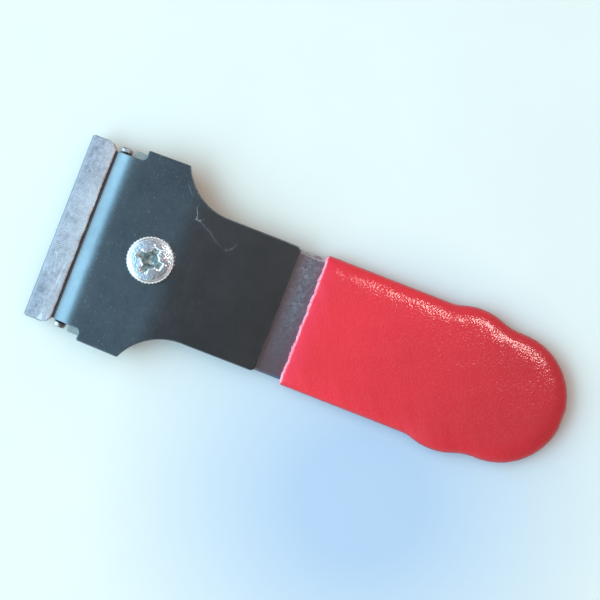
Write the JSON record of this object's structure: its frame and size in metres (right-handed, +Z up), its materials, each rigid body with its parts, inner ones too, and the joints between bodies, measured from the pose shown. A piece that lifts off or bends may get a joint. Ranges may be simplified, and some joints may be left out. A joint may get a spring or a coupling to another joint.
{
  "type": "razor blade scraper",
  "caption": "Flat hand scraper: a steel handle plate with a dipped vinyl grip, and a screwed clamp plate that holds a reversible single-edge blade.",
  "frame": {"origin": "on the surface that the scraper lies on, under the middle of its length and width", "axes": "+X from the blade to the end of the grip, +Z up through the screw's head"},
  "size_m": [0.1066, 0.0402, 0.0097],
  "materials": {
    "handle_steel": "bare rolled steel, dull and a little worn",
    "red_vinyl": "dipped soft vinyl, finely pebbled, semi-gloss",
    "nut_steel": "zinc-plated steel",
    "blade_steel": "polished hardened strip",
    "back_steel": "bright rolled strip, lightly scratched",
    "black_oxide": "satin black oxide on steel",
    "screw_plating": "bright zinc plating"
  },
  "bodies": {
    "handle": {"handle_plate": "handle_steel", "vinyl_grip": "red_vinyl", "clinch_nut": "nut_steel", "razor_blade": "blade_steel", "blade_back": "back_steel"},
    "clamp": {"clamp_plate": "black_oxide"},
    "screw": {"thumb_screw": "screw_plating"}
  },
  "joints": [
    {"name": "clamp_lift", "type": "slide", "parent": "handle", "child": "clamp", "axis": [0, 0, 1], "range_m": [0, 0.00198]},
    {"name": "screw_turn", "type": "hinge", "parent": "clamp", "child": "screw", "pos_m": [-0.03343, 0, 0.004], "axis": [0, 0, 1], "range_deg": [0, 900]}
  ],
  "couplings": [
    {"joint": "screw_turn", "follows": "clamp_lift", "rad_per_m": 7913.3}
  ]
}
